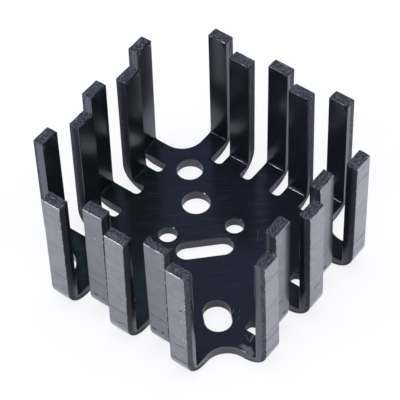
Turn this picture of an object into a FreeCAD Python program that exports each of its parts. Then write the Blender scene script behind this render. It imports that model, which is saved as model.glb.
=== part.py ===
import FreeCAD, Part
import math
import os
import Sketcher

# Basket heat sink for one transistor in a flat diamond can.
#
# It is a single aluminium sheet: a square floor with a row of five fingers folded up on each
# side, alternately on an outer and an inner fold line, a round scallop at every corner and six
# punched openings. Z points up, the origin is the middle of the floor's underside, and the four
# rows face -X, +X, -Y and +Y. The can's long axis lies on the diagonal where x equals y.

# Driving dimensions in millimetres.
SIZES = (
    ("sheet_thickness", 2.0),
    ("overall_height", 25.4),
    ("overall_span", 44.0),
    ("row_step", 2.35),
    ("outside_bend_radius", 4.5),
    ("inside_bend_radius", 0.4),
    ("row_length", 27.0),
    ("middle_finger_width", 3.8),
    ("inner_finger_width", 3.8),
    ("finger_gap", 2.1),
    ("gap_root_offset", 15.0),
    ("gap_corner_radius", 0.75),
    ("scallop_radius", 3.9),
    ("screw_hole_diameter", 4.4),
    ("screw_hole_offset", 16.0),
    ("screw_slot_offset", 14.6),
    ("screw_slot_length", 6.2),
    ("centre_hole_diameter", 4.7),
    ("centre_hole_offset", 8.75),
    ("lead_hole_diameter", 3.15),
    ("lead_hole_spacing", 10.92),
    ("lead_line_offset", 2.94),
    ("oblong_width", 3.6),
    ("oblong_length", 9.4),
    ("oblong_offset", 0.9),
    ("sides", 4),
)
SIZE = dict(SIZES)

START, END, CENTRE = 1, 2, 3
X_AXIS, Y_AXIS, ORIGIN = -1, -2, -1


def vector(x, y):
    return FreeCAD.Vector(x, y, 0)


def fill_sheet(doc):
    """Write every driving dimension to the sheet, each under its own alias."""
    sheet = doc.addObject("Spreadsheet::Sheet", "Sizes")
    for row, (alias, value) in enumerate(SIZES, start=1):
        sheet.set(f"A{row}", alias.replace("_", " "))
        sheet.set(f"B{row}", str(value))
        sheet.setAlias(f"B{row}", alias)
    doc.recompute()


def origin_feature(body, role):
    return next(item for item in body.Origin.OriginFeatures if item.Role == role)


def new_sketch(body, name, plane):
    sketch = body.newObject("Sketcher::SketchObject", name)
    sketch.AttachmentSupport = [(origin_feature(body, plane), "")]
    sketch.MapMode = "FlatFace"
    return sketch


def line(sketch, start, end):
    return sketch.addGeometry(Part.LineSegment(vector(*start), vector(*end)))


def arc(sketch, centre, radius, first, last):
    """An arc drawn anticlockwise between two angles in degrees."""
    circle = Part.Circle(vector(*centre), FreeCAD.Vector(0, 0, 1), radius)
    return sketch.addGeometry(Part.ArcOfCircle(circle, math.radians(first), math.radians(last)))


def circle(sketch, centre, radius):
    return sketch.addGeometry(Part.Circle(vector(*centre), FreeCAD.Vector(0, 0, 1), radius))


def tie(sketch, kind, *items):
    sketch.addConstraint(Sketcher.Constraint(kind, *items))


def dimension(sketch, name, expression, kind, *items):
    """Add a named dimension and bind it to the sheet."""
    index = sketch.addConstraint(Sketcher.Constraint(kind, *items))
    sketch.renameConstraint(index, name)
    sketch.setExpression(f"Constraints.{name}", expression)


def offset(sketch, name, expression, kind, geometry, point, value):
    """Dimension a point from the origin along X or Y, on either side of it."""
    if value < 0:
        dimension(sketch, name, expression, kind, geometry, point, ORIGIN, 1, -value)
    else:
        dimension(sketch, name, expression, kind, ORIGIN, 1, geometry, point, value)


def pad(body, name, sketch, expression, symmetric=False):
    feature = body.newObject("PartDesign::Pad", name)
    feature.Profile = sketch
    feature.SideType = "Symmetric" if symmetric else "One side"
    feature.setExpression("Length", expression)
    feature.Refine = True
    body.Document.recompute()
    return feature


def punch(body, name, sketch):
    """Cut a sketch on the underside up through the whole part."""
    before = body.Shape.Volume
    feature = body.newObject("PartDesign::Pocket", name)
    feature.Profile = sketch
    feature.Type = "ThroughAll"
    feature.Reversed = True
    feature.Refine = True
    body.Document.recompute()
    if not body.Shape.Volume < before:
        raise RuntimeError(f"{name} cut nothing")
    return feature


def turn(body, name):
    """A pattern that repeats a feature on each side of the square."""
    pattern = body.newObject("PartDesign::PolarPattern", name)
    pattern.Axis = (origin_feature(body, "Z_Axis"), [""])
    pattern.Angle = 360
    pattern.setExpression("Occurrences", "Sizes.sides")
    pattern.Refine = True
    return pattern


def repeat_on_sides(body, name, feature):
    pattern = turn(body, name)
    pattern.Originals = [feature]
    body.Tip = pattern
    body.Document.recompute()


def repeat_mirrored_on_sides(body, name, feature):
    """Mirror a feature to the other half of its row, then repeat both on each side."""
    mirror = body.newObject("PartDesign::Mirrored", name + "Mirror")
    mirror.MirrorPlane = (origin_feature(body, "XZ_Plane"), [""])
    sides = turn(body, name + "Sides")
    both = body.newObject("PartDesign::MultiTransform", name)
    both.Originals = [feature]
    both.Transformations = [mirror, sides]
    both.Refine = True
    body.Tip = both
    body.Document.recompute()


def rectangle(sketch, name, low_x, high_x, low_y, high_y, bounds):
    """A rectangle between four offsets; bounds gives the expression of each."""
    corners = ((low_x, low_y), (high_x, low_y), (high_x, high_y), (low_x, high_y))
    sides = [line(sketch, corners[k], corners[(k + 1) % 4]) for k in range(4)]
    for k in range(4):
        tie(sketch, "Coincident", sides[k], END, sides[(k + 1) % 4], START)
        tie(sketch, "Vertical" if k % 2 else "Horizontal", sides[k])
    offset(sketch, name + "_low_x", bounds[0], "DistanceX", sides[0], START, low_x)
    offset(sketch, name + "_high_x", bounds[1], "DistanceX", sides[1], START, high_x)
    offset(sketch, name + "_low_y", bounds[2], "DistanceY", sides[0], START, low_y)
    offset(sketch, name + "_high_y", bounds[3], "DistanceY", sides[2], START, high_y)


def add_floor(body):
    """The square blank, out to where the scallops run into the ends of the rows."""
    half = SIZE["row_length"] / 2 + SIZE["scallop_radius"]
    reach = "Sizes.row_length / 2 + Sizes.scallop_radius"
    sketch = new_sketch(body, "FloorOutline", "XY_Plane")
    rectangle(sketch, "floor", -half, half, -half, half, (reach, reach, reach, reach))
    pad(body, "Floor", sketch, "Sizes.sheet_thickness")


def add_scallops(body):
    """A round bite out of each corner, tangent to the ends of both neighbouring rows."""
    corner = SIZE["row_length"] / 2 + SIZE["scallop_radius"]
    place = "Sizes.row_length / 2 + Sizes.scallop_radius"
    sketch = new_sketch(body, "ScallopOutline", "XY_Plane")
    bite = circle(sketch, (corner, corner), SIZE["scallop_radius"])
    offset(sketch, "corner_x", place, "DistanceX", bite, CENTRE, corner)
    offset(sketch, "corner_y", place, "DistanceY", bite, CENTRE, corner)
    dimension(sketch, "bite", "Sizes.scallop_radius", "Radius", bite, SIZE["scallop_radius"])
    repeat_on_sides(body, "Scallops", punch(body, "Scallop", sketch))


def finger_section(body, name, face, face_expression):
    """The folded sheet seen from the end of a row: floor, bend and upright finger.

    The bend is pressed sharp on the inside, so the sheet is thinner round its outside radius.
    """
    thick, high = SIZE["sheet_thickness"], SIZE["overall_height"]
    outside, inside = SIZE["outside_bend_radius"], SIZE["inside_bend_radius"]
    root = SIZE["gap_root_offset"] - thick
    sketch = new_sketch(body, name, "XZ_Plane")
    under = line(sketch, (root, 0), (face - outside, 0))
    heel = arc(sketch, (face - outside, outside), outside, -90, 0)
    back = line(sketch, (face, outside), (face, high))
    tip = line(sketch, (face, high), (face - thick, high))
    front = line(sketch, (face - thick, high), (face - thick, thick + inside))
    crease = arc(sketch, (face - thick - inside, thick + inside), inside, -90, 0)
    upper = line(sketch, (face - thick - inside, thick), (root, thick))
    end = line(sketch, (root, thick), (root, 0))
    tie(sketch, "Tangent", under, END, heel, START)
    tie(sketch, "Tangent", heel, END, back, START)
    tie(sketch, "Coincident", back, END, tip, START)
    tie(sketch, "Coincident", tip, END, front, START)
    tie(sketch, "Tangent", front, END, crease, END)
    tie(sketch, "Tangent", crease, START, upper, START)
    tie(sketch, "Coincident", upper, END, end, START)
    tie(sketch, "Coincident", end, END, under, START)
    for level in (under, tip, upper):
        tie(sketch, "Horizontal", level)
    for upright in (back, front, end):
        tie(sketch, "Vertical", upright)
    tie(sketch, "PointOnObject", under, START, X_AXIS)
    offset(sketch, "root", "Sizes.gap_root_offset - Sizes.sheet_thickness", "DistanceX", under, START, root)
    offset(sketch, "face", face_expression, "DistanceX", back, START, face)
    offset(sketch, "height", "Sizes.overall_height", "DistanceY", tip, START, high)
    dimension(sketch, "outside", "Sizes.outside_bend_radius", "Radius", heel, outside)
    dimension(sketch, "inside", "Sizes.inside_bend_radius", "Radius", crease, inside)
    dimension(sketch, "finger", "Sizes.sheet_thickness", "DistanceX", tip, END, tip, START, thick)
    dimension(sketch, "floor", "Sizes.sheet_thickness", "DistanceY", end, END, end, START, thick)
    return sketch


def add_outer_rows(body):
    """The outer folds, first as one wall along the whole row."""
    sketch = finger_section(body, "OuterSection", SIZE["overall_span"] / 2, "Sizes.overall_span / 2")
    wall = pad(body, "OuterRow", sketch, "Sizes.row_length", symmetric=True)
    repeat_on_sides(body, "OuterRows", wall)


# A row is symmetric about its middle finger: half of it, then a gap, an inner finger, another
# gap and an end finger. These are the distances from the middle to the edges of both gaps.
MIDDLE_EDGE = "Sizes.middle_finger_width / 2"
INNER_NEAR = MIDDLE_EDGE + " + Sizes.finger_gap"
INNER_FAR = INNER_NEAR + " + Sizes.inner_finger_width"
END_EDGE = INNER_FAR + " + Sizes.finger_gap"
PAST_FACE = "Sizes.overall_span / 2 + Sizes.sheet_thickness"


def gap_edges():
    """The same four distances as numbers."""
    middle = SIZE["middle_finger_width"] / 2
    near = middle + SIZE["finger_gap"]
    far = near + SIZE["inner_finger_width"]
    return middle, near, far, far + SIZE["finger_gap"]


def add_windows(body):
    """Open the outer walls where the inner fingers and the gaps beside them go."""
    middle, _, _, end = gap_edges()
    root, past = SIZE["gap_root_offset"], SIZE["overall_span"] / 2 + SIZE["sheet_thickness"]
    sketch = new_sketch(body, "WindowOutline", "XY_Plane")
    reach = ("Sizes.gap_root_offset", PAST_FACE)
    rectangle(sketch, "upper", root, past, middle, end, reach + (MIDDLE_EDGE, END_EDGE))
    rectangle(sketch, "lower", root, past, -end, -middle, reach + (END_EDGE, MIDDLE_EDGE))
    repeat_on_sides(body, "Windows", punch(body, "Window", sketch))


def add_inner_rows(body):
    """Fold the strips in the windows up on the inner line, one row step further in."""
    _, near, far, _ = gap_edges()
    face = SIZE["overall_span"] / 2 - SIZE["row_step"]
    sketch = finger_section(body, "InnerSection", face, "Sizes.overall_span / 2 - Sizes.row_step")
    sketch.AttachmentOffset = FreeCAD.Placement(
        FreeCAD.Vector(0, 0, -(near + far) / 2), FreeCAD.Rotation())
    sketch.setExpression("AttachmentOffset.Base.z", f"-({INNER_NEAR} + Sizes.inner_finger_width / 2)")
    strip = pad(body, "InnerStrip", sketch, "Sizes.inner_finger_width + 2 * Sizes.finger_gap",
                symmetric=True)
    repeat_mirrored_on_sides(body, "InnerStrips", strip)


def gap_outline(sketch, name, low, high, edges):
    """One gap between two fingers, open at the face and with a rounded root."""
    root, corner = SIZE["gap_root_offset"], SIZE["gap_corner_radius"]
    past = SIZE["overall_span"] / 2 + SIZE["sheet_thickness"]
    side_low = line(sketch, (past, low), (root + corner, low))
    corner_low = arc(sketch, (root + corner, low + corner), corner, 180, 270)
    bottom = line(sketch, (root, low + corner), (root, high - corner))
    corner_high = arc(sketch, (root + corner, high - corner), corner, 90, 180)
    side_high = line(sketch, (root + corner, high), (past, high))
    mouth = line(sketch, (past, high), (past, low))
    tie(sketch, "Tangent", side_low, END, corner_low, END)
    tie(sketch, "Tangent", corner_low, START, bottom, START)
    tie(sketch, "Tangent", bottom, END, corner_high, END)
    tie(sketch, "Tangent", corner_high, START, side_high, START)
    tie(sketch, "Coincident", side_high, END, mouth, START)
    tie(sketch, "Coincident", mouth, END, side_low, START)
    for side in (side_low, side_high):
        tie(sketch, "Horizontal", side)
    for end in (bottom, mouth):
        tie(sketch, "Vertical", end)
    tie(sketch, "Equal", corner_low, corner_high)
    dimension(sketch, name + "_corner", "Sizes.gap_corner_radius", "Radius", corner_low, corner)
    offset(sketch, name + "_root", "Sizes.gap_root_offset", "DistanceX", bottom, START, root)
    offset(sketch, name + "_past", PAST_FACE, "DistanceX", mouth, START, past)
    offset(sketch, name + "_low", edges[0], "DistanceY", side_low, START, low)
    offset(sketch, name + "_high", edges[1], "DistanceY", side_high, END, high)


def add_gaps(body):
    """The four gaps of a row, on every side."""
    middle, near, far, end = gap_edges()
    sketch = new_sketch(body, "GapOutline", "XY_Plane")
    gap_outline(sketch, "inner_right", middle, near, (MIDDLE_EDGE, INNER_NEAR))
    gap_outline(sketch, "outer_right", far, end, (INNER_FAR, END_EDGE))
    gap_outline(sketch, "inner_left", -near, -middle, (INNER_NEAR, MIDDLE_EDGE))
    gap_outline(sketch, "outer_left", -end, -far, (END_EDGE, INNER_FAR))
    repeat_on_sides(body, "Gaps", punch(body, "Gap", sketch))


def round_hole(sketch, name, place, place_expression, diameter):
    """A round hole on the diagonal, which is the sketch's X axis."""
    hole = circle(sketch, (place, 0), SIZE[diameter] / 2)
    tie(sketch, "PointOnObject", hole, CENTRE, X_AXIS)
    offset(sketch, name + "_place", place_expression, "DistanceX", hole, CENTRE, place)
    dimension(sketch, name + "_size", "Sizes." + diameter, "Diameter", hole, SIZE[diameter])


def lead_hole(sketch, name, side):
    """One of the two holes for the can's leads, on either side of the diagonal."""
    radius, half = SIZE["lead_hole_diameter"] / 2, SIZE["lead_hole_spacing"] / 2
    hole = circle(sketch, (SIZE["lead_line_offset"], side * half), radius)
    offset(sketch, name + "_line", "Sizes.lead_line_offset", "DistanceX", hole, CENTRE,
           SIZE["lead_line_offset"])
    offset(sketch, name + "_half", "Sizes.lead_hole_spacing / 2", "DistanceY", hole, CENTRE, side * half)
    dimension(sketch, name + "_size", "Sizes.lead_hole_diameter", "Diameter", hole, 2 * radius)


def long_hole(sketch, name, centre, centre_expression, length, width, across):
    """A hole with round ends on the diagonal, lying along it or across it."""
    radius, half = SIZE[width] / 2, (SIZE[length] - SIZE[width]) / 2
    swing = 90 if across else 0

    def at(along, beside):
        return (-centre - beside, along) if across else (-centre + along, beside)

    head = arc(sketch, at(half, 0), radius, swing - 90, swing + 90)
    left = line(sketch, at(half, radius), at(-half, radius))
    tail = arc(sketch, at(-half, 0), radius, swing + 90, swing + 270)
    right = line(sketch, at(-half, -radius), at(half, -radius))
    tie(sketch, "Tangent", head, END, left, START)
    tie(sketch, "Tangent", left, END, tail, START)
    tie(sketch, "Tangent", tail, END, right, START)
    tie(sketch, "Tangent", right, END, head, START)
    tie(sketch, "Equal", head, tail)
    dimension(sketch, name + "_width", "Sizes." + width, "Diameter", head, 2 * radius)
    reach = f"(Sizes.{length} - Sizes.{width}) / 2"
    if across:
        tie(sketch, "Symmetric", head, CENTRE, tail, CENTRE, X_AXIS)
        offset(sketch, name + "_place", centre_expression, "DistanceX", head, CENTRE, -centre)
        offset(sketch, name + "_reach", reach, "DistanceY", head, CENTRE, half)
    else:
        for end in (head, tail):
            tie(sketch, "PointOnObject", end, CENTRE, X_AXIS)
        near, far = f"{centre_expression} - {reach}", f"{centre_expression} + {reach}"
        offset(sketch, name + "_near", near, "DistanceX", head, CENTRE, half - centre)
        offset(sketch, name + "_far", far, "DistanceX", tail, CENTRE, -half - centre)


def add_openings(body):
    """The punched holes in the floor, drawn with X along the diagonal of the can."""
    sketch = new_sketch(body, "OpeningOutline", "XY_Plane")
    sketch.AttachmentOffset = FreeCAD.Placement(
        FreeCAD.Vector(0, 0, 0), FreeCAD.Rotation(FreeCAD.Vector(0, 0, 1), 45))
    round_hole(sketch, "screw", SIZE["screw_hole_offset"], "Sizes.screw_hole_offset", "screw_hole_diameter")
    round_hole(sketch, "centre", SIZE["centre_hole_offset"], "Sizes.centre_hole_offset",
               "centre_hole_diameter")
    lead_hole(sketch, "lead_one", 1)
    lead_hole(sketch, "lead_two", -1)
    long_hole(sketch, "oblong", SIZE["oblong_offset"], "Sizes.oblong_offset",
              "oblong_length", "oblong_width", across=True)
    long_hole(sketch, "slot", SIZE["screw_slot_offset"], "Sizes.screw_slot_offset",
              "screw_slot_length", "screw_hole_diameter", across=False)
    punch(body, "Openings", sketch)


def make_heat_sink(doc):
    body = doc.addObject("PartDesign::Body", "HeatSink")
    body.Label = "heat_sink"
    add_floor(body)
    add_scallops(body)
    add_outer_rows(body)
    add_windows(body)
    add_inner_rows(body)
    add_gaps(body)
    add_openings(body)
    return body


def check(doc, parts):
    """Stop if any object failed or a part isn't one sound solid."""
    for item in doc.Objects:
        if {"Invalid", "Error"} & set(item.State):
            raise RuntimeError(f"{item.Name} failed: {item.State}")
    for part in parts:
        if part.Shape.isNull() or not part.Shape.isValid() or len(part.Shape.Solids) != 1:
            raise RuntimeError(f"{part.Label} isn't one valid solid")


def main():
    doc = FreeCAD.newDocument("basket_heat_sink")
    fill_sheet(doc)
    parts = [make_heat_sink(doc)]
    doc.recompute()
    check(doc, parts)
    os.makedirs("parts", exist_ok=True)
    for part in parts:
        part.Shape.exportStep(f"parts/{part.Label}.step")
        box = part.Shape.BoundBox
        print(part.Label, round(part.Shape.Volume, 2), "mm3", box.XLength, box.YLength, box.ZLength)


main()
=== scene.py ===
import math
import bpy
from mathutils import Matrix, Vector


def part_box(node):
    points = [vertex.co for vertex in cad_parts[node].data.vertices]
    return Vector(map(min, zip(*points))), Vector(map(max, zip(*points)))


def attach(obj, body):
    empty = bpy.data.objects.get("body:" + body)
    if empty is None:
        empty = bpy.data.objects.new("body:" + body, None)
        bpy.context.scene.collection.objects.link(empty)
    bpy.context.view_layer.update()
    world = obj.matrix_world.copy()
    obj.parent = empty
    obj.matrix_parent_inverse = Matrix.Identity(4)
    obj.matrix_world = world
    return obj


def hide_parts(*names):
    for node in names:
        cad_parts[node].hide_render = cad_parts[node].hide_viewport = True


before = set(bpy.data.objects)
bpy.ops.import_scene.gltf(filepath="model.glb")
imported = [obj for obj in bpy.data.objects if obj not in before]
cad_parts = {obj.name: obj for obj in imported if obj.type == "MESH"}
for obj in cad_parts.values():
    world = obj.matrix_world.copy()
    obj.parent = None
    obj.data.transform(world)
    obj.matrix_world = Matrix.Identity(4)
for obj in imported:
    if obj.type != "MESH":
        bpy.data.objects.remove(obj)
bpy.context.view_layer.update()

from types import SimpleNamespace

import bmesh
import bpy
from mathutils import Matrix, Vector, noise

# The folded sheet
# A basket heat sink is one piece of 2 mm aluminium sheet. It is punched flat in a press tool, its
# strips are folded up square into four rows of fingers, and then it is degreased and anodised black.
# Lengths are in metres. On the flat sheet u runs outward from the middle of a side and v along it.
MM = 0.001
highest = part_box("heat_sink")[1]
FACE = highest.x
HEIGHT = highest.z
THICKNESS = 2.0 * MM
QUARTER = math.pi / 2
UP = Vector((0, 0, 1))

# The blank: a square floor with five strips on each side, a round scallop at each corner
ROW_STEP = 2.35 * MM
HALF_ROW = 13.5 * MM
STRIP_WIDTH = 3.8 * MM
STRIP_GAP = 2.1 * MM
SPACING = STRIP_WIDTH + STRIP_GAP
GAP_ROOT = 15.0 * MM
GAP_CORNER = 0.75 * MM
TIP_CORNER = 0.2 * MM
SCALLOP_RADIUS = 3.9 * MM
OUTSIDE_BEND = 4.5 * MM
INSIDE_BEND = 0.4 * MM

# The six openings: place along the can's diagonal, length and width, or place and width
SCREW_HOLE = (16.0 * MM, 4.4 * MM)
CENTRE_HOLE = (8.75 * MM, 4.7 * MM)
SCREW_SLOT = (-14.6 * MM, 6.2 * MM, 4.4 * MM)
OBLONG_HOLE = (-0.9 * MM, 9.4 * MM, 3.6 * MM)
LEAD_LINE = 2.94 * MM
LEAD_SPACING = 10.92 * MM
LEAD_HOLE = 3.15 * MM

# How finely the outline is drawn
ARC_STEP = 0.28 * MM
FEWEST_ARC_STEPS = 4
OUTLINE_STEP = 0.5 * MM
SAME_POINT = MM / 100
ON_PLANE = MM / 1000

# The inside of a fold is one crease: floor, small radius and upright, each as long as it is here
floor_part = OUTSIDE_BEND - THICKNESS - INSIDE_BEND
crease_part = INSIDE_BEND * QUARTER
INSIDE_LENGTH = 2 * floor_part + crease_part
FOLD_LENGTH = (OUTSIDE_BEND * QUARTER + INSIDE_LENGTH) / 2


def strip_end(face):
    """How far out the end of a strip lies while the sheet is flat."""
    return face - OUTSIDE_BEND + FOLD_LENGTH + HEIGHT - OUTSIDE_BEND


def run(sheet, pen, u, v):
    """Draw a straight cut from the pen to a point and return the new end."""
    end = bmesh.ops.extrude_vert_indiv(sheet, verts=[pen])["verts"][0]
    end.co = (u, v, 0)
    return end


def turn(sheet, pen, u, v, angle):
    """Draw a round cut about a point, anticlockwise for a positive angle."""
    centre = Vector((u, v, 0))
    steps = max(FEWEST_ARC_STEPS, round(abs(angle) * (pen.co - centre).length / ARC_STEP))
    arc = bmesh.ops.spin(sheet, geom=[pen], cent=centre, axis=UP, angle=angle, steps=steps)
    return next(item for item in arc["geom_last"] if isinstance(item, bmesh.types.BMVert))


def cut_gap(sheet, pen, v):
    """The open gap between two strips, from its near side v, with its rounded root."""
    far = v + STRIP_GAP
    pen = run(sheet, pen, GAP_ROOT + GAP_CORNER, v)
    pen = turn(sheet, pen, GAP_ROOT + GAP_CORNER, v + GAP_CORNER, -QUARTER)
    pen = run(sheet, pen, GAP_ROOT, far - GAP_CORNER)
    return turn(sheet, pen, GAP_ROOT + GAP_CORNER, far - GAP_CORNER, -QUARTER)


def cut_strip_end(sheet, pen, end, near, far):
    """The end of a strip from v = near to v = far; near is None where the row's middle is."""
    if near is not None:
        pen = run(sheet, pen, end - TIP_CORNER, near)
        pen = turn(sheet, pen, end - TIP_CORNER, near + TIP_CORNER, QUARTER)
    pen = run(sheet, pen, end, far - TIP_CORNER)
    return turn(sheet, pen, end - TIP_CORNER, far - TIP_CORNER, QUARTER)


def cut_half_side(sheet):
    """Half of one side of the blank, from the middle strip's end to the scallop."""
    outer_end, inner_end = strip_end(FACE), strip_end(FACE - ROW_STEP)
    middle = STRIP_WIDTH / 2
    near = middle + STRIP_GAP
    far = near + STRIP_WIDTH
    pen = sheet.verts.new((outer_end, 0, 0))
    pen = cut_strip_end(sheet, pen, outer_end, None, middle)
    pen = cut_gap(sheet, pen, middle)
    pen = cut_strip_end(sheet, pen, inner_end, near, far)
    pen = cut_gap(sheet, pen, far)
    pen = cut_strip_end(sheet, pen, outer_end, far + STRIP_GAP, HALF_ROW)
    corner = HALF_ROW + SCALLOP_RADIUS
    pen = run(sheet, pen, corner, HALF_ROW)
    turn(sheet, pen, corner, corner, -QUARTER / 2)


def cut_long_hole(sheet, length, width):
    """A round-ended hole about the middle, lying along the diagonal."""
    half, radius = (length - width) / 2, width / 2
    pen = sheet.verts.new((half, -radius, 0))
    pen = turn(sheet, pen, half, 0, 2 * QUARTER)
    pen = run(sheet, pen, -half, radius)
    pen = turn(sheet, pen, -half, 0, 2 * QUARTER)
    run(sheet, pen, half, -radius)


def cut_openings(sheet):
    """The six openings, drawn with u along the diagonal of the can and then turned onto it."""
    openings = bmesh.new()
    round_holes = (
        (*SCREW_HOLE, 0), (*CENTRE_HOLE, 0),
        (LEAD_LINE, LEAD_HOLE, LEAD_SPACING / 2), (LEAD_LINE, LEAD_HOLE, -LEAD_SPACING / 2),
    )
    for place, width, beside in round_holes:
        segments = round(math.pi * width / ARC_STEP)
        bmesh.ops.create_circle(openings, segments=segments, radius=width / 2,
                                matrix=Matrix.Translation((place, beside, 0)))
    for (place, length, width), swing in ((SCREW_SLOT, 0), (OBLONG_HOLE, QUARTER)):
        before = set(openings.verts)
        cut_long_hole(openings, length, width)
        matrix = Matrix.Translation((place, 0, 0)) @ Matrix.Rotation(swing, 4, "Z")
        corners = [corner for corner in openings.verts if corner not in before]
        bmesh.ops.transform(openings, matrix=matrix, verts=corners)
    bmesh.ops.rotate(openings, verts=openings.verts, matrix=Matrix.Rotation(QUARTER / 2, 3, "Z"))
    add_to(sheet, openings)


def add_to(sheet, part):
    """Join one bmesh onto another and free it."""
    mesh = bpy.data.meshes.new("part")
    part.to_mesh(mesh)
    part.free()
    sheet.from_mesh(mesh)
    bpy.data.meshes.remove(mesh)


def draw_blank():
    """The whole outline with its openings, filled as one flat sheet."""
    sheet = bmesh.new()
    cut_half_side(sheet)
    bmesh.ops.mirror(sheet, geom=sheet.verts[:] + sheet.edges[:], axis="Y", merge_dist=SAME_POINT)
    side = sheet.verts[:] + sheet.edges[:]
    for quarter in range(1, 4):
        copy = bmesh.ops.duplicate(sheet, geom=side)["geom"]
        corners = [item for item in copy if isinstance(item, bmesh.types.BMVert)]
        bmesh.ops.rotate(sheet, verts=corners, matrix=Matrix.Rotation(quarter * QUARTER, 3, "Z"))
    cut_openings(sheet)
    bmesh.ops.remove_doubles(sheet, verts=sheet.verts, dist=SAME_POINT)
    for edge in sheet.edges[:]:
        cuts = round(edge.calc_length() / OUTLINE_STEP) - 1
        if cuts > 0:
            bmesh.ops.subdivide_edges(sheet, edges=[edge], cuts=cuts)
    bmesh.ops.triangle_fill(sheet, edges=sheet.edges[:], use_beauty=True, normal=UP)
    return sheet


# The punched edges: the punch comes down on the upper face and draws its edge in, the first part
# of the cut is burnished, and below it the metal tears away at a slight taper and leaves a burr
ROLL_WIDTH = 0.1 * MM
ROLL_DEPTH = 0.1 * MM
ROLL_STEPS = 3
BURNISH_STEPS = (0.2 * MM, 0.25 * MM, 0.25 * MM)
TEAR_HEIGHT = 0.9 * MM
TEAR_TAPER = 0.08 * MM
UNDER_EDGE = 0.09 * MM


def inset(sheet, faces, width, depth):
    """Draw a region of the sheet in from its edges and push it out by a depth."""
    bmesh.ops.inset_region(sheet, faces=faces, thickness=width, depth=depth,
                           use_boundary=True, use_even_offset=True)


def thicken(sheet):
    """Give the flat blank its thickness, with the rolled, burnished and torn parts of the cut."""
    under = sheet.faces[:]
    bmesh.ops.translate(sheet, verts=sheet.verts, vec=UP * TEAR_HEIGHT)
    raised = bmesh.ops.extrude_face_region(sheet, geom=under)["geom"]
    upper = [item for item in raised if isinstance(item, bmesh.types.BMFace)]
    corners = [item for item in raised if isinstance(item, bmesh.types.BMVert)]
    bmesh.ops.translate(sheet, verts=corners, vec=UP * BURNISH_STEPS[0])
    for step in BURNISH_STEPS[1:]:
        inset(sheet, upper, 0, step)
    inset(sheet, upper, 0, THICKNESS - ROLL_DEPTH - TEAR_HEIGHT - sum(BURNISH_STEPS))
    for step in range(ROLL_STEPS):
        first, last = (QUARTER * k / ROLL_STEPS for k in (step, step + 1))
        inset(sheet, upper, ROLL_WIDTH * (math.cos(first) - math.cos(last)),
              ROLL_DEPTH * (math.sin(last) - math.sin(first)))
    inset(sheet, under, TEAR_TAPER / 2, TEAR_HEIGHT / 2)
    inset(sheet, under, TEAR_TAPER / 2, TEAR_HEIGHT / 2 - UNDER_EDGE)
    inset(sheet, under, UNDER_EDGE, UNDER_EDGE)


# The folds: each strip is wiped up square over a die, with a wide radius outside and a sharp
# crease pressed inside; outer and inner strips fold on lines one row step apart
BEND_CUTS = 7
CREASE_CUTS = 4
COIN_WIDTH = 1.1 * MM
COIN_DEPTH = 0.03 * MM
COIN_SHOULDER = 0.4 * MM


def fold_lines(start):
    """Where the sheet is divided across a fold that starts at a distance u."""
    share = floor_part / INSIDE_LENGTH * FOLD_LENGTH
    crease = crease_part / INSIDE_LENGTH * FOLD_LENGTH
    lines = [start + share * k / BEND_CUTS for k in range(BEND_CUTS)]
    lines += [start + share + crease * k / CREASE_CUTS for k in range(CREASE_CUTS)]
    return lines + [start + share + crease + share * k / BEND_CUTS for k in range(BEND_CUTS + 1)]


def divide_folds(sheet):
    """Cut the sheet across all the fold lines, so that it can bend there."""
    lines = fold_lines(FACE - OUTSIDE_BEND) + fold_lines(FACE - ROW_STEP - OUTSIDE_BEND)
    for quarter in range(4):
        outward = Matrix.Rotation(quarter * QUARTER, 3, "Z") @ Vector((1, 0, 0))
        for distance in lines:
            strips = [face for face in sheet.faces
                      if max(outward.dot(corner.co) for corner in face.verts) > GAP_ROOT]
            parts = [item for face in strips for item in (*face.verts, *face.edges, face)]
            bmesh.ops.bisect_plane(sheet, geom=list(dict.fromkeys(parts)), dist=ON_PLANE,
                                   plane_co=outward * distance, plane_no=outward)


def smooth(value, start, end):
    """0 before start, 1 after end and an even rise between them."""
    share = min(1.0, max(0.0, (value - start) / (end - start)))
    return share * share * (3 - 2 * share)


def crease_point(distance):
    """A point of the fold's inside, that far along it, measured from the fold's start."""
    if distance < floor_part:
        shoulder = floor_part - COIN_WIDTH
        sunk = COIN_DEPTH * smooth(distance, shoulder - COIN_SHOULDER, shoulder)
        return distance, THICKNESS - sunk
    if distance < floor_part + crease_part:
        angle = (distance - floor_part) / INSIDE_BEND
        sunk = COIN_DEPTH * (1 - angle / QUARTER)
        return (floor_part + INSIDE_BEND * math.sin(angle),
                THICKNESS + INSIDE_BEND * (1 - math.cos(angle)) - sunk)
    return floor_part + INSIDE_BEND, THICKNESS + distance - floor_part - crease_part + INSIDE_BEND


def fold_point(u, level, face):
    """Where a point of the flat sheet, level above its underside, lies once folded."""
    start = face - OUTSIDE_BEND
    along = u - start
    if along <= 0:
        return u, level
    if along >= FOLD_LENGTH:
        return face - level, OUTSIDE_BEND + along - FOLD_LENGTH
    share = along / FOLD_LENGTH
    outside = (OUTSIDE_BEND * math.sin(share * QUARTER), OUTSIDE_BEND * (1 - math.cos(share * QUARTER)))
    inside = crease_point(share * INSIDE_LENGTH)
    height = level / THICKNESS
    return (start + outside[0] + (inside[0] - outside[0]) * height,
            outside[1] + (inside[1] - outside[1]) * height)


# How the fingers came out of the tool: how far each tip leans out of its row and sways along it,
# in millimetres, row by row in the direction of v; the third row is the left one in the photo
LEANS = (
    ((0, -0.1), (-0.05, 0), (0, -0.3), (0.2, -0.1), (0, -0.1)),
    ((0, -0.25), (-0.05, 0.1), (-0.05, -0.15), (-0.05, 0), (0, 0.15)),
    ((0, 0), (0.2, 0.45), (0, 0.3), (0.15, 0.2), (-0.1, -0.15)),
    ((-0.2, -0.1), (-0.15, 0.3), (-0.25, 0), (0, -0.25), (-0.1, 0.45)),
)
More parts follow.
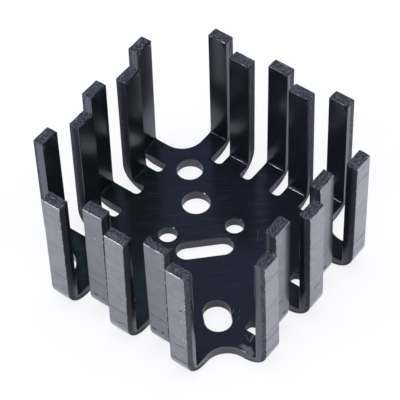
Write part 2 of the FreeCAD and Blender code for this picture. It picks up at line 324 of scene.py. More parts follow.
# The fingers of the left row also stand a little along it at their foot, in millimetres
LEFT_ROW = 2
FOOT_SHIFTS = (0, 0.12, -0.08, 0.2, 0)

# The cut ends are uneven by waves of noise, each with its share and scale. The noise is read at a
# place of its own for each row and finger, and then by the millimetre across and through the sheet
TIP_ZONE = 0.6 * MM
TIP_DROP = 0.02 * MM
TIP_WAVE = 0.12 * MM
TIP_RIPPLES = ((0.5, 1.0), (0.18, 3.7))
TIP_PLACES = (7, 1.3, 0.8, 0.9)
# One finger of the right row has kept nearly its full height, and one of the left row has the
# inner half of its tip torn away in a curve; the row comes first and then the finger
TALL_TIP = (3, 1)
TALL_TIP_WAVE = 0.08 * MM
TORN_TIP = (LEFT_ROW, 3)
TORN_TIP_DEPTH = 0.95 * MM
TORN_TIP_SPREAD = 0.3 * MM
TORN_TIP_CREST = 0.75 * MM
TORN_TIP_CURVE = 1.0 * MM
TORN_TIP_SLOPE = 0.6 * MM


def tip_drop(quarter, finger, across, level):
    """How far the cut end of a finger lies below its full height at one place."""
    side = across / (STRIP_WIDTH / 2)
    by_row, by_finger, by_across, by_level = TIP_PLACES
    spot = Vector((
        quarter * by_row + finger * by_finger, across / MM * by_across, level / MM * by_level,
    ))
    wave = 0.5 + sum(share * noise.noise(spot * scale) for share, scale in TIP_RIPPLES)
    if (quarter, finger) == TALL_TIP:
        return TALL_TIP_WAVE * wave
    drop = TIP_DROP + TIP_WAVE * wave
    if (quarter, finger) == TORN_TIP:
        crest = TORN_TIP_CREST + TORN_TIP_CURVE * side * side
        drop += TORN_TIP_DEPTH * smooth(level, crest, crest + TORN_TIP_SLOPE)
    return drop


def fold(sheet):
    """Fold all the strips up, each with its own small lean."""
    for corner in sheet.verts:
        x, y, level = corner.co
        quarter = (0 if x > 0 else 2) if abs(x) > abs(y) else (1 if y > 0 else 3)
        back = Matrix.Rotation(-quarter * QUARTER, 3, "Z")
        u, v = (back @ corner.co).xy
        finger = min(4, max(0, round(v / SPACING) + 2))
        across = v - (finger - 2) * SPACING
        face = FACE - ROW_STEP * (finger % 2)
        if u > strip_end(face) - TIP_ZONE:
            u -= tip_drop(quarter, finger, across, level)
        out, height = fold_point(u, level, face)
        rise = max(0.0, height - THICKNESS) / (HEIGHT - THICKNESS)
        lean, sway = LEANS[quarter][finger]
        foot = 0
        if quarter == LEFT_ROW:
            foot = FOOT_SHIFTS[finger] * (1 - rise) * smooth(u, GAP_ROOT, face)
        if (quarter, finger) == TORN_TIP:
            v += TORN_TIP_SPREAD * rise * across / STRIP_WIDTH
        place = Vector((out + lean * MM * rise, v + (sway * rise + foot) * MM, height))
        corner.co = back.inverted() @ place


# Marks for the material: how near the end of a strip its cut end is found, and how much of the
# fold's inside, either side of the middle, and of the thickness is the crease
END_MARGIN = 0.3 * MM
CREASE_MIDDLE = 0.1
CREASE_LEVEL = 0.99 * THICKNESS


def finger_face(place):
    """How far out a point of the flat sheet lies, and the face of the finger that it is on."""
    out, across = sorted((abs(place.x), abs(place.y)), reverse=True)
    return out, FACE - ROW_STEP * (round(across / SPACING) % 2)


def at_strip_end(place):
    """1 for a point of the flat sheet on the cut end of a strip."""
    out, face = finger_face(place)
    return float(out > strip_end(face) - END_MARGIN)


def at_crease(place):
    """1 for a point of the flat sheet that comes to lie in the middle of a fold's inside."""
    out, face = finger_face(place)
    inside = (out - face + OUTSIDE_BEND) / FOLD_LENGTH * INSIDE_LENGTH - floor_part
    return float(abs(inside / crease_part - 0.5) < CREASE_MIDDLE and place.z > CREASE_LEVEL)


SHARP_ANGLE = math.radians(28)


def make_sheet():
    """The whole folded sheet as one object, which also knows where each point lay when flat."""
    sheet = draw_blank()
    thicken(sheet)
    divide_folds(sheet)
    flat = sheet.verts.layers.float_vector.new("blank")
    end = sheet.verts.layers.float.new("strip_end")
    crease = sheet.verts.layers.float.new("crease")
    for corner in sheet.verts:
        corner[flat] = corner.co
        corner[end] = at_strip_end(corner.co)
        corner[crease] = at_crease(corner.co)
    fold(sheet)
    mesh = bpy.data.meshes.new("folded_sheet")
    sheet.to_mesh(mesh)
    sheet.free()
    mesh.polygons.foreach_set("use_smooth", [True] * len(mesh.polygons))
    mesh.set_sharp_from_angle(angle=SHARP_ANGLE)
    piece = bpy.data.objects.new("folded_sheet", mesh)
    bpy.context.scene.collection.objects.link(piece)
    weighted = piece.modifiers.new("face_normals", "WEIGHTED_NORMAL")
    weighted.keep_sharp = True
    return piece


sheet = make_sheet()


def node(tree, kind, values=None, **settings):
    """Add a node, set its properties and its unlinked inputs, and link the others."""
    made = tree.nodes.new(kind)
    for name, value in settings.items():
        setattr(made, name, value)
    for name, value in (values or {}).items():
        if isinstance(value, bpy.types.NodeSocket):
            tree.links.new(value, made.inputs[name])
        else:
            made.inputs[name].default_value = value
    return made


def math_node(tree, operation, *values):
    """One step of arithmetic on sockets and numbers."""
    return node(tree, "ShaderNodeMath", dict(enumerate(values)), operation=operation).outputs[0]


def product(tree, first, *others):
    """Sockets and numbers multiplied, one after the other."""
    for value in others:
        first = math_node(tree, "MULTIPLY", first, value)
    return first


def larger(tree, first, second):
    """The larger of two values, which joins two masks."""
    return math_node(tree, "MAXIMUM", first, second)


def scaled(tree, value, factor, start):
    """A value times a factor, added to a start."""
    return math_node(tree, "MULTIPLY_ADD", value, factor, start)


def difference(tree, first, second):
    """The first value less the second; 1.0 as the first turns a mask round."""
    return math_node(tree, "SUBTRACT", first, second)


def size_of(tree, value):
    """A value without its sign."""
    return math_node(tree, "ABSOLUTE", value)


def ramp(tree, value, start, end, low=0.0, high=1.0):
    """An even, smooth change of a value from low to high between two places."""
    made = node(tree, "ShaderNodeMapRange", {
        "Value": value, "From Min": start, "From Max": end, "To Min": low, "To Max": high,
    }, interpolation_type="SMOOTHSTEP")
    return made.outputs["Result"]


def mix(tree, share, first, second):
    """One colour that goes over into another by a share."""
    made = node(tree, "ShaderNodeMix", data_type="RGBA")
    for name, value in (("Factor_Float", share), ("A_Color", first), ("B_Color", second)):
        socket = next(item for item in made.inputs if item.identifier == name)
        if isinstance(value, bpy.types.NodeSocket):
            tree.links.new(value, socket)
        else:
            socket.default_value = value
    return next(item for item in made.outputs if item.identifier == "Result_Color")


def blend(tree, share, first, second):
    """One value that goes over into another by a share."""
    return node(tree, "ShaderNodeMix", {0: share, 2: first, 3: second}).outputs[0]


def grain(tree, vector, stretch, scale, detail, roughness):
    """Noise in the sheet's own millimetres, drawn out along the axes where stretch is small."""
    drawn = node(tree, "ShaderNodeVectorMath", {0: vector, 1: stretch}, operation="MULTIPLY")
    made = node(tree, "ShaderNodeTexNoise", {
        "Vector": drawn.outputs[0], "Scale": scale, "Detail": detail, "Roughness": roughness,
    })
    return made.outputs["Fac"]


def group(name, inputs, outputs):
    """An empty shader group with named sockets; gives the tree and its two end nodes."""
    made = bpy.data.node_groups.new(name, "ShaderNodeTree")
    for direction, sockets in (("INPUT", inputs), ("OUTPUT", outputs)):
        for label, kind in sockets:
            made.interface.new_socket(label, in_out=direction, socket_type=kind)
    return made, made.nodes.new("NodeGroupInput"), made.nodes.new("NodeGroupOutput")


FLOAT = "NodeSocketFloat"
VECTOR = "NodeSocketVector"
EVEN = (1, 1, 1)

# A score, in its own lengths and widths: how it fades at its ends and sides, where its raised lip lies,
# and how near in millimetres a face must be to carry it. On the outer faces the lip is painted pale as
# a highlight and the score dark, partly as shade.
SCORE_WAVES = (EVEN, 1.1, 2.0, 0.5)
SCORE_ENDS = (1.05, 0.6)
SCORE_SIDES = (1.0, 0.25)
LIP_PLACE = 1.3
LIP_SIDES = (0.6, 0.0)
SAME_FACE = (0.06, 0.03)


def score_group():
    """One straight score on the flat sheet: X is 1 in the score and Y is 1 on the lip beside it."""
    tree, given, result = group("score", (
        ("Sheet", VECTOR), ("Place", VECTOR), ("Angle", FLOAT), ("Length", FLOAT), ("Width", FLOAT),
    ), (("Mask", VECTOR),))
    sheet, place, angle, length, width = given.outputs[:5]
    offset = node(tree, "ShaderNodeVectorMath", {0: sheet, 1: place}, operation="SUBTRACT").outputs[0]
    waves = grain(tree, sheet, *SCORE_WAVES)
    turned = node(tree, "ShaderNodeVectorRotate", {"Vector": offset, "Angle": angle},
                  rotation_type="Z_AXIS")
    parts = node(tree, "ShaderNodeSeparateXYZ", {0: turned.outputs[0]})
    bent = scaled(tree, difference(tree, waves, 0.5), width, parts.outputs["Y"])
    half_length = product(tree, length, 0.5)
    half_width = product(tree, width, 0.5)
    along = math_node(tree, "DIVIDE", size_of(tree, parts.outputs["X"]), half_length)
    beside = math_node(tree, "DIVIDE", size_of(tree, bent), half_width)
    one_side = math_node(tree, "DIVIDE", bent, half_width)
    lip = size_of(tree, difference(tree, one_side, LIP_PLACE))
    same_face = ramp(tree, size_of(tree, parts.outputs["Z"]), *SAME_FACE)
    reach = product(tree, ramp(tree, along, *SCORE_ENDS), same_face)
    mask = node(tree, "ShaderNodeCombineXYZ", {
        "X": product(tree, reach, ramp(tree, beside, *SCORE_SIDES)),
        "Y": product(tree, reach, ramp(tree, lip, *LIP_SIDES)),
    })
    tree.links.new(mask.outputs[0], result.inputs["Mask"])
    return tree


# The bands of a punched edge, in millimetres above the underside: how the tear's height differs
# between the two pairs of sides, how it starts beyond the floor's holes, and how it is ragged
TEAR_SIDES = (-2.0, 2.0, -0.16, 0.28)
TEAR_STARTS = (0.0, 3.0)
TEAR_RAGS = ((1, 1, 0.2), 1.4, 4.0, 0.65)
TEAR_RAGGED = 0.9
TEAR_BORDER = 0.05
OFF_UNDERSIDE = (0.01, 0.05)
OFF_ROLL = (0.02, -0.03)
BURR_SPECKS = (EVEN, 2.3, 3.0, 0.7)
BURR_SHARE = (0.52, 0.60)
ON_BURR = (0.12, 0.02)
OFF_FACE = (0.0005, 0.004)


def shear_group():
    """Which part of a punched edge a point lies on, from its height in the flat sheet."""
    tree, given, result = group("shear", (
        ("Sheet", VECTOR), ("Tear Height", FLOAT), ("Roll Height", FLOAT), ("Rough From", FLOAT),
        ("Wear", FLOAT),
    ), (("Torn", FLOAT), ("Burnished", FLOAT), ("Burr", FLOAT)))
    sheet, tear_height, roll_height, rough_from, wear = given.outputs[:5]
    place = node(tree, "ShaderNodeSeparateXYZ", {0: sheet})
    height = place.outputs["Z"]
    from_x = size_of(tree, place.outputs["X"])
    from_y = size_of(tree, place.outputs["Y"])
    outward = larger(tree, from_x, from_y)

    uneven = ramp(tree, difference(tree, from_x, from_y), *TEAR_SIDES)
    tear = math_node(tree, "ADD", tear_height, uneven)
    strips = ramp(tree, difference(tree, outward, rough_from), *TEAR_STARTS)
    rags = difference(tree, grain(tree, sheet, *TEAR_RAGS), 0.5)
    border = difference(tree, scaled(tree, rags, TEAR_RAGGED, height), product(tree, tear, strips))
    torn = product(tree, ramp(tree, border, TEAR_BORDER, -TEAR_BORDER),
                   ramp(tree, height, *OFF_UNDERSIDE))
    off_roll = ramp(tree, difference(tree, height, roll_height), *OFF_ROLL)
    burnished = product(tree, ramp(tree, border, -TEAR_BORDER, TEAR_BORDER), off_roll)

    specks = math_node(tree, "ADD", grain(tree, sheet, *BURR_SPECKS), wear)
    burr = product(tree, ramp(tree, height, *ON_BURR), ramp(tree, height, *OFF_FACE),
                   ramp(tree, specks, *BURR_SHARE))
    for name, mask in (("Torn", torn), ("Burnished", burnished), ("Burr", burr)):
        tree.links.new(mask, result.inputs[name])
    return tree


# Scores on the outer faces are die marks painted dark, partly as painted shade, each with a painted
# highlight on the lip beside it: side, place along it, height, length, width, slant
OUTER_SCORES = (
    (2, 11.7, 4.5, 4.4, 0.33, 2), (2, 12.0, 8.2, 2.0, 0.30, -4), (2, 12.45, 17.3, 0.9, 0.45, -24),
    (2, 0.5, 5.1, 1.2, 0.39, -14), (2, 0, 8.2, 4.2, 0.18, 3), (2, -11.7, 8.2, 4.4, 0.18, 2),
    (2, 6.0, 8.3, 4.2, 0.21, 5), (2, -5.8, 8.3, 4.2, 0.18, 4), (2, 5.0, 4.8, 0.9, 0.68, 10),
    (2, 6.6, 4.9, 0.6, 0.60, 0), (2, -6.4, 4.8, 0.9, 0.60, -8), (2, -4.9, 4.7, 0.5, 0.52, 0),
    (3, -11.7, 22.0, 4.4, 0.15, 8), (3, -11.7, 7.7, 4.4, 0.18, -3), (3, -11.7, 4.3, 4.4, 0.21, 2),
    (3, 0, 7.5, 1.8, 0.36, 4), (3, 11.7, 21.7, 4.4, 0.21, 3), (3, 11.7, 7.5, 4.4, 0.18, -2),
    (3, -6.5, 8.4, 1.1, 0.36, 12), (3, -5.4, 4.7, 1.0, 0.60, -6), (3, 5.6, 4.7, 1.1, 0.60, 6),
    (0, 11.7, 7.9, 4.4, 0.18, 3), (0, 0, 8.1, 4.2, 0.21, -2), (0, -11.4, 4.6, 3.0, 0.30, 2),
    (0, -5.9, 4.8, 1.0, 0.60, 8), (1, -11.7, 8.2, 4.4, 0.18, -3), (1, 0.4, 5.0, 1.6, 0.33, 8),
    (1, 11.7, 21.8, 4.4, 0.15, 2), (1, 6.0, 4.8, 1.2, 0.54, -8),
)
# Bright scratches through the black of the outer faces, with the same numbers
OUTER_SCRATCHES = (
    (2, -5.7, 19.5, 0.4, 0.30, 40), (2, 12.6, 14.8, 0.35, 0.16, 60), (2, 12.2, 11.9, 0.3, 0.16, 20),
    (2, 12.8, 10.4, 0.3, 0.14, 75), (3, 5.2, 16.0, 0.3, 0.12, 30), (0, 3.0, 15.0, 0.4, 0.14, 50),
)
# Bright scratches and rubbed patches on the floor, the widest patch being a painted highlight at the
# crease by the front corner's foot: x, y, length, width, slant
FLOOR_SCRATCHES = (
    (-11.1, -16.6, 1.1, 0.10, 62), (-8.2, -11.8, 0.9, 0.10, 20), (-7.6, -12.6, 0.6, 0.08, 48),
    (-8.9, -13.3, 0.7, 0.07, 10), (-4.0, 4.0, 1.6, 0.05, 118), (6.5, -6.0, 2.2, 0.05, 30),
)
FLOOR_RUBS_AND_HIGHLIGHT = ((-12.9, -18.2, 3.6, 1.5, 82), (-10.4, -17.2, 2.6, 0.35, 12), (-6.6, -15.2, 2.4, 0.4, 40))


def flat_place(quarter, along, height):
    """Where a point of a finger's outer face lay, in millimetres, while the sheet was flat."""
    finger = round(along * MM / SPACING)
    face = FACE - ROW_STEP * (finger % 2)
    out = strip_end(face) / MM - (HEIGHT / MM - height)
    return Matrix.Rotation(quarter * QUARTER, 3, "Z") @ Vector((out, along, 0))


def outer_rows(rows):
    """Scores across the outer faces as rows for the group; a slant of 0 lies level."""
    for quarter, along, height, length, width, slant in rows:
        level = (quarter + 1) * QUARTER
        yield flat_place(quarter, along, height), -level - math.radians(slant), length, width


def floor_rows(rows):
    """Scores on the upper face of the floor as rows for the group."""
    for x, y, length, width, slant in rows:
        yield Vector((x, y, THICKNESS / MM)), -math.radians(slant), length, width


def scores(tree, sheet_mm, score, rows):
    """The strongest of a set of scores, and of their lips."""
    found = (0, 0, 0)
    for place, angle, length, width in rows:
        made = node(tree, "ShaderNodeGroup", node_tree=score)
        for name, value in (("Place", place), ("Angle", angle), ("Length", length), ("Width", width)):
            made.inputs[name].default_value = value
        tree.links.new(sheet_mm, made.inputs["Sheet"])
        found = node(tree, "ShaderNodeVectorMath", {0: found, 1: made.outputs["Mask"]},
                     operation="MAXIMUM").outputs[0]
    parts = node(tree, "ShaderNodeSeparateXYZ", {0: found})
    return parts.outputs["X"], parts.outputs["Y"]


# Parts of the flat sheet, in millimetres: where a finger begins, the sides of the corner fingers,
# the two front rows, the two inner fingers of a row, the upper face, the scallops, and the strip
# of the left corner's side, from high up to its foot
FINGER_FROM = (17.0, 19.0)
CORNER_SIDES = (13.0, 13.4)
FRONT_ROWS = (-21.0, -26.0)
INNER_FINGERS = (2.1, 1.9)
UPPER_FACE = (1.95, 1.99)
SCALLOP_ACROSS = (11.0, 12.0)
SCALLOP_OUTWARD = (19.5, 17.5)
LEFT_SIDE = (-17.0, -19.0)
LEFT_SIDE_FADE = (38.0, 24.0)
CUT_END_WEAR = 0.11


def find_places(tree):
    """Masks of the sheet's parts and marks, all from where a point lay while the sheet was flat."""
    at = SimpleNamespace()
    blank = node(tree, "ShaderNodeAttribute", attribute_name="blank").outputs["Vector"]
    in_mm = node(tree, "ShaderNodeVectorMath", {0: blank, "Scale": 1 / MM}, operation="SCALE")
    at.sheet = in_mm.outputs[0]
    at.cut_end = node(tree, "ShaderNodeAttribute", attribute_name="strip_end").outputs["Fac"]
    at.crease = node(tree, "ShaderNodeAttribute", attribute_name="crease").outputs["Fac"]

    place = node(tree, "ShaderNodeSeparateXYZ", {0: at.sheet})
    at.x, at.y, at.level = place.outputs[:3]
    from_x, from_y = size_of(tree, at.x), size_of(tree, at.y)
    at.outward = larger(tree, from_x, from_y)
    at.across = math_node(tree, "MINIMUM", from_x, from_y)
    at.finger = ramp(tree, at.outward, *FINGER_FROM)
    at.exposed = larger(tree, at.cut_end, ramp(tree, at.across, *CORNER_SIDES))

    shear = node(tree, "ShaderNodeGroup", {
        "Sheet": at.sheet, "Tear Height": TEAR_HEIGHT / MM,
        "Roll Height": (THICKNESS - ROLL_DEPTH) / MM, "Rough From": SCREW_HOLE[0] / MM,
        "Wear": product(tree, at.cut_end, CUT_END_WEAR),
    }, node_tree=shear_group())
    at.torn, at.burnished = shear.outputs["Torn"], shear.outputs["Burnished"]
    at.cut = larger(tree, at.torn, at.burnished)

    score = score_group()
    at.dark, at.lips = scores(tree, at.sheet, score, outer_rows(OUTER_SCORES))
    scratches = (*outer_rows(OUTER_SCRATCHES), *floor_rows(FLOOR_SCRATCHES))
    at.bright = larger(tree, scores(tree, at.sheet, score, scratches)[0], shear.outputs["Burr"])
    # The widest rubbed patch is a painted highlight at the crease by the front corner's foot
    at.rubbed = scores(tree, at.sheet, score, floor_rows(FLOOR_RUBS_AND_HIGHLIGHT))[0]
    at.dull = larger(tree, at.torn, at.dark)
    return at


# Patterns in the sheet: stretch, scale, detail and roughness of each noise
TORN_GRAIN = (EVEN, 3.0, 4.0, 0.75)
CUT_GRAIN = (EVEN, 5.0, 4.0, 0.8)
CUT_STREAKS = ((1, 1, 0.75), 5.5, 4.0, 0.8)
BURNISH_STREAKS = ((1, 1, 0.12), 5.0, 3.0, 0.6)
ROLLING = ((1, 0.04, 1), 5.0, 3.0, 0.5)
CLOUD = (EVEN, 0.16, 3.0, 0.5)
HAIRLINES = ((0.05, 1, 1), 3.5, 4.0, 0.7)
HAIRLINE_ANGLE = 0.9
DUST = (EVEN, 3.0, 3.0, 0.75)
BLOTCHES = (EVEN, 0.8, 4.0, 0.6)

# Colours: black oxide that is greener towards the left and bluer towards the right, the bands of a
# punched edge, the cut ends, and what marks show. The burnished band's grey is a painted highlight on
# the scallops. The torn black is also painted shade between the front fingers. The pale grey is also a
# painted highlight on the scores' lips and at a crease.
SKIN_ACROSS = (-22.0, 14.0)
SKIN_GREENISH = (0.0045, 0.0085, 0.0090, 1)
SKIN_BLUISH = (0.0085, 0.0085, 0.0150, 1)
BURNISHED_BLACK = (0.024, 0.025, 0.033, 1)
BURNISHED_HIGHLIGHT_GREY = (0.098, 0.094, 0.098, 1)
TORN_GREY = (0.095, 0.101, 0.125, 1)
TORN_BLACK = (0.006, 0.007, 0.011, 1)
CUT_GREY = (0.270, 0.282, 0.330, 1)
CUT_BLACK = (0.010, 0.012, 0.018, 1)
SCORE_AND_SHADE_BLACK = (0.006, 0.007, 0.010, 1)
PALE_AND_HIGHLIGHT_GREY = (0.30, 0.31, 0.36, 1)
BARE_METAL = (0.62, 0.64, 0.70, 1)

# Which share of each noise shows, from where to where, and how strongly a mark, a painted highlight or
# the painted shade covers
TORN_SHARE = (0.51, 0.60)
CUT_SHARE = (0.48, 0.70)
SCALLOP_HIGHLIGHT_SHARE = (0.3, 0.7)
HAIRLINE_SHARE = (0.50, 0.75)
DUST_SHARE = (0.66, 0.74)
PAINTED_SHADE_COVER = 0.9
HAIRLINE_COVER = 0.06
DUST_COVER = 0.15
RUB_AND_HIGHLIGHT_COVER = 0.4
LIP_HIGHLIGHT_COVER = 0.35


def edge_colour(tree, at, torn_grain, skin):
    """The skin with the colours of the punched edges, with painted shade on the cut edges between the
    front fingers.
    """
    cut_grain = grain(tree, at.sheet, *CUT_GRAIN)
    # Painted highlight: the burnished band of the scallops is painted light grey, broken up by the cut
    # grain, where it would catch the light
    at_scallop = product(tree, ramp(tree, at.across, *SCALLOP_ACROSS),
                         ramp(tree, at.outward, *SCALLOP_OUTWARD))
    scallop_highlight = product(tree, at_scallop, ramp(tree, cut_grain, *SCALLOP_HIGHLIGHT_SHARE))
    burnished_colour = mix(tree, scallop_highlight, BURNISHED_BLACK, BURNISHED_HIGHLIGHT_GREY)
    torn_colour = mix(tree, ramp(tree, torn_grain, *TORN_SHARE), TORN_BLACK, TORN_GREY)
    cut_mix = blend(tree, at.burnished, cut_grain, grain(tree, at.sheet, *CUT_STREAKS))
    end_colour = mix(tree, ramp(tree, cut_mix, *CUT_SHARE), CUT_BLACK, CUT_GREY)

    # Painted shade: in the two front rows, above the bend, the cut edges of the fingers are painted
    # nearly black where the fingers shade each other. The tips and the corner sides are left out.
    front = ramp(tree, math_node(tree, "MINIMUM", at.x, at.y), *FRONT_ROWS)
    between = product(tree, front, difference(tree, 1.0, at.exposed), at.cut, PAINTED_SHADE_COVER)
    colour = mix(tree, at.burnished, skin, burnished_colour)
    colour = mix(tree, at.torn, colour, torn_colour)
    colour = mix(tree, between, colour, TORN_BLACK)
    return mix(tree, product(tree, at.cut_end, at.cut), colour, end_colour)


def sheet_colour(tree, at, torn_grain):
    """The black dye, the bands of the punched edges, and then dust, rubs, scores and scratches. The
    scores' lips and one rubbed patch are painted highlights, and the scores are partly painted shade.
    """
    sideways = difference(tree, at.x, at.y)
    skin = mix(tree, ramp(tree, sideways, *SKIN_ACROSS), SKIN_GREENISH, SKIN_BLUISH)
    colour = edge_colour(tree, at, torn_grain, skin)
    turned = node(tree, "ShaderNodeVectorRotate", {"Vector": at.sheet, "Angle": HAIRLINE_ANGLE},
                  rotation_type="Z_AXIS").outputs[0]
    hairlines = ramp(tree, grain(tree, turned, *HAIRLINES), *HAIRLINE_SHARE)
    dust = ramp(tree, grain(tree, at.sheet, *DUST), *DUST_SHARE)
    pale = larger(tree, product(tree, hairlines, HAIRLINE_COVER), product(tree, dust, DUST_COVER))
    # Painted highlight and shade: the lips beside the scores are painted pale as lit edges, and the
    # scores dark partly as their shaded side
    for share, shown in (
        (pale, PALE_AND_HIGHLIGHT_GREY), (product(tree, at.rubbed, RUB_AND_HIGHLIGHT_COVER), PALE_AND_HIGHLIGHT_GREY), (at.dark, SCORE_AND_SHADE_BLACK),
        (product(tree, at.lips, LIP_HIGHLIGHT_COVER), PALE_AND_HIGHLIGHT_GREY), (at.bright, BARE_METAL),
    ):
        colour = mix(tree, share, colour, shown)
    return colour


# Roughness: how much a noise adds, and from what; then the crease, the torn parts and bare metal
CLOUD_ROUGH = (0.12, 0.12)
ROLLING_ROUGH = 0.03
BURNISHED_ROUGH = (0.18, 0.08)
CREASE_ROUGH = 0.10
TORN_ROUGH = 0.62
BARE_ROUGH = 0.38


def sheet_roughness(tree, at, streaks, rolling):
    """Satin on the rolled faces, smoother where the cut is burnished and dull where it is torn."""
    skin = scaled(tree, grain(tree, at.sheet, *CLOUD), *CLOUD_ROUGH)
    skin = scaled(tree, rolling, ROLLING_ROUGH, skin)
    rough = blend(tree, at.burnished, skin, scaled(tree, streaks, *BURNISHED_ROUGH))
    for share, value in ((at.crease, CREASE_ROUGH), (at.dull, TORN_ROUGH), (at.bright, BARE_ROUGH)):
        rough = blend(tree, share, rough, value)
    return rough


# Gloss of the oxide: how much each pattern adds, and from what, and what takes it away. The inner row's
# loss is painted shade.
BLOTCH_GLOSS = (0.70, 0.45)
WIPE_SQUEEZE = 0.14
WIPE_SHARE = (0.42, 0.58)
WIPE_GLOSS = 0.14
INNER_ROW_SHADE = -0.3
INSIDE_LOSS = 0.9
LEFT_SIDE_GLOSS = 0.35


def sheet_gloss(tree, at):
    """How strongly the oxide shines: the fingers' outer faces and the floor, and most the crease."""
    wiped = node(tree, "ShaderNodeCombineXYZ", {
        "X": at.outward, "Y": product(tree, at.across, WIPE_SQUEEZE),
    }).outputs[0]
    wiped = ramp(tree, grain(tree, wiped, *BLOTCHES), *WIPE_SHARE)
    gloss = scaled(tree, grain(tree, at.sheet, *BLOTCHES), *BLOTCH_GLOSS)
    gloss = scaled(tree, wiped, WIPE_GLOSS, gloss)

    # Painted shade: the inner fingers shine less, standing in for the shade of the outer fingers in
    # front of them
    from_inner = size_of(tree, difference(tree, at.across, SPACING / MM))
    inner_row = product(tree, ramp(tree, from_inner, *INNER_FINGERS), at.finger)
    inside = product(tree, ramp(tree, at.level, *UPPER_FACE), at.finger, INSIDE_LOSS)
    gloss = product(tree, gloss, scaled(tree, inner_row, INNER_ROW_SHADE, 1.0))
    gloss = product(tree, gloss, difference(tree, 1.0, larger(tree, inside, at.burnished)))

    left_side = product(tree, ramp(tree, at.x, *LEFT_SIDE), at.burnished,
                        ramp(tree, at.outward, *LEFT_SIDE_FADE, 0.0, LEFT_SIDE_GLOSS), at.exposed)
    gloss = larger(tree, larger(tree, gloss, left_side), at.crease)
    return product(tree, gloss, difference(tree, 1.0, at.dull))


# Relief: how much less the torn grain stands out on cut ends, and the height of the other patterns
CUT_END_SMOOTH = -0.75
STREAK_HEIGHT = 0.12
ROLLING_HEIGHT = 0.010
RELIEF_DEPTH = 0.12 * MM
RELIEF_STRENGTH = 0.8


def sheet_relief(tree, at, torn_grain, streaks, rolling):
    """The grain of torn metal, streaks down the burnished band and faint rolling lines."""
    ragged = scaled(tree, at.cut_end, CUT_END_SMOOTH, 1.0)
    relief = product(tree, torn_grain, at.torn, ragged)
    relief = scaled(tree, product(tree, streaks, at.burnished), STREAK_HEIGHT, relief)
    relief = scaled(tree, rolling, ROLLING_HEIGHT, relief)
    return node(tree, "ShaderNodeBump", {
        "Height": relief, "Distance": RELIEF_DEPTH, "Strength": RELIEF_STRENGTH,
    }).outputs[0]


def make_anodised():
    """Black dye in a thin hard oxide: glossy on the rolled faces, dull where the metal tore."""
    material = bpy.data.materials.new("black_anodised_aluminium")
    material.use_nodes = True
    tree = material.node_tree
    tree.nodes.clear()
    at = find_places(tree)
    torn_grain = grain(tree, at.sheet, *TORN_GRAIN)
    streaks = grain(tree, at.sheet, *BURNISH_STREAKS)
    rolling = grain(tree, at.sheet, *ROLLING)
    shader = node(tree, "ShaderNodeBsdfPrincipled", {
        "Base Color": sheet_colour(tree, at, torn_grain),
        "Roughness": sheet_roughness(tree, at, streaks, rolling),
        "Metallic": at.bright,
        "Normal": sheet_relief(tree, at, torn_grain, streaks, rolling),
        "IOR": 2.2, "Specular IOR Level": 0.2, "Specular Tint": (0.8, 0.8, 1.0, 1),
        "Coat Weight": sheet_gloss(tree, at), "Coat Roughness": 0.15, "Coat IOR": 2.1,
    })
    node(tree, "ShaderNodeOutputMaterial", {"Surface": shader.outputs["BSDF"]})
    return material


sheet.data.materials.append(make_anodised())

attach(sheet, "root")
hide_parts("heat_sink")

# The table
# The part stands on a plain matt white table, which glows a little to the camera. It is clear from
# below, and to light that leaves the underside at once, so the underside shows and isn't black.
TABLE_RADIUS = 4.0
TABLE_SIDES = 96
TABLE_TOP = -0.02 * MM
TOUCHING = 0.3 * MM
TABLE_WHITE = (0.87, 0.87, 0.91, 1)
GLOW_WHITE = (1, 1, 1, 1)
GLOW_SEEN = 0.8


def make_table():
    """A wide disc just under the part."""
    table = bmesh.new()
    bmesh.ops.create_circle(table, cap_ends=True, segments=TABLE_SIDES, radius=TABLE_RADIUS,
                            matrix=Matrix.Translation((0, 0, TABLE_TOP)))
    mesh = bpy.data.meshes.new("table")
    table.to_mesh(mesh)
    table.free()
    piece = bpy.data.objects.new("table", mesh)
    bpy.context.scene.collection.objects.link(piece)
    return piece


def make_white():
    """Matt white with a share of glow for what the camera sees, and clear from below."""
    material = bpy.data.materials.new("white_table")
    material.use_nodes = True
    tree = material.node_tree
    tree.nodes.clear()
    rays = node(tree, "ShaderNodeLightPath")
    seen = larger(tree, rays.outputs["Is Camera Ray"], rays.outputs["Is Transmission Ray"])
    matt = node(tree, "ShaderNodeBsdfDiffuse", {"Color": TABLE_WHITE})
    glow = node(tree, "ShaderNodeEmission", {"Color": GLOW_WHITE, "Strength": 1.0})
    lit = node(tree, "ShaderNodeMixShader", {
        0: product(tree, seen, GLOW_SEEN), 1: matt.outputs[0], 2: glow.outputs[0],
    })
    below = node(tree, "ShaderNodeNewGeometry").outputs["Backfacing"]
    touching = math_node(tree, "LESS_THAN", rays.outputs["Ray Length"], TOUCHING)
    clear = node(tree, "ShaderNodeBsdfTransparent")
    both = node(tree, "ShaderNodeMixShader", {
        0: larger(tree, below, touching), 1: lit.outputs[0], 2: clear.outputs[0],
    })
    node(tree, "ShaderNodeOutputMaterial", {"Surface": both.outputs[0]})
    return material


table = make_table()
table.data.materials.append(make_white())

# The room
# A plain studio, dim overhead and paler towards the horizon; the camera itself sees it as white.
ROOM_PALE = (0.28, 0.29, 0.32, 1)
ROOM_DIM = (0.068, 0.080, 0.135, 1)
ROOM_WHITE = (1.0, 1.0, 1.0, 1)
ROOM_DIMS = (math.sin(math.radians(2)), math.sin(math.radians(14)))


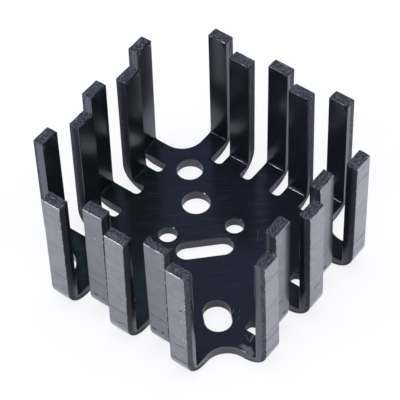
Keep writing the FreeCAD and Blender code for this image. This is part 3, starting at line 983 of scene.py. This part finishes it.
def make_room():
    """The world's colour, from how high a ray points."""
    room = bpy.data.worlds.new("room")
    room.use_nodes = True
    tree = room.node_tree
    tree.nodes.clear()
    direction = node(tree, "ShaderNodeTexCoord").outputs["Generated"]
    rise = node(tree, "ShaderNodeSeparateXYZ", {0: direction}).outputs["Z"]
    seen = node(tree, "ShaderNodeLightPath").outputs["Is Camera Ray"]
    air = mix(tree, ramp(tree, rise, *ROOM_DIMS), ROOM_PALE, ROOM_DIM)
    background = node(tree, "ShaderNodeBackground", {"Color": mix(tree, seen, air, ROOM_WHITE)})
    node(tree, "ShaderNodeOutputWorld", {"Surface": background.outputs[0]})
    return room


bpy.context.scene.world = make_room()

# The lamps
# A wide soft fill overhead that the gloss doesn't show, and a small soft box on the left that it does.
LAMP_DISTANCE = 1.2


def soft_box(name, towards, size, power, colour, in_gloss):
    """A square lamp that faces the part."""
    lamp = bpy.data.lights.new(name, "AREA")
    lamp.shape = "SQUARE"
    lamp.size = size
    lamp.energy = power
    lamp.color = colour
    holder = bpy.data.objects.new(name, lamp)
    holder.location = Vector(towards).normalized() * LAMP_DISTANCE
    holder.rotation_euler = Vector(towards).to_track_quat("Z", "Y").to_euler()
    holder.visible_glossy = in_gloss
    holder.visible_camera = False
    bpy.context.scene.collection.objects.link(holder)


soft_box("overhead_fill", towards=(-0.15, -0.15, 1.0), size=2.4, power=39,
         colour=(0.97, 0.98, 1.0), in_gloss=False)
soft_box("left_soft_box", towards=(-0.77, 0.40, 0.50), size=0.22, power=2.0,
         colour=(0.95, 0.97, 1.0), in_gloss=True)

# The camera
# It looks down on the near corner of the part, from a little to its left, through a long lens.
CAMERA_AIM = Vector((0.11, 0.54, 12.7)) * MM
CAMERA_DISTANCE = 345.4 * MM
CAMERA_AZIMUTH = math.radians(-51.6)
CAMERA_ELEVATION = math.radians(50.14)
CAMERA_ROLL = math.radians(-2.21)
CAMERA_LENS = 197.8
CAMERA_SENSOR = 36
CAMERA_SHIFT = -0.002
CAMERA_NEAREST = 0.01
CAMERA_FARTHEST = 20

camera = bpy.data.cameras.new("camera")
camera.lens = CAMERA_LENS
camera.sensor_width = CAMERA_SENSOR
camera.shift_y = CAMERA_SHIFT
camera.clip_start = CAMERA_NEAREST
camera.clip_end = CAMERA_FARTHEST
towards = Vector((
    math.sin(CAMERA_AZIMUTH) * math.cos(CAMERA_ELEVATION),
    -math.cos(CAMERA_AZIMUTH) * math.cos(CAMERA_ELEVATION),
    math.sin(CAMERA_ELEVATION),
))
tripod = bpy.data.objects.new("camera", camera)
tripod.location = CAMERA_AIM + towards * CAMERA_DISTANCE
tripod.rotation_euler = (towards.to_track_quat("Z", "Y").to_matrix()
                         @ Matrix.Rotation(CAMERA_ROLL, 3, "Z")).to_euler()
bpy.context.scene.collection.objects.link(tripod)
bpy.context.scene.camera = tripod
bpy.context.scene.view_settings.view_transform = "Standard"
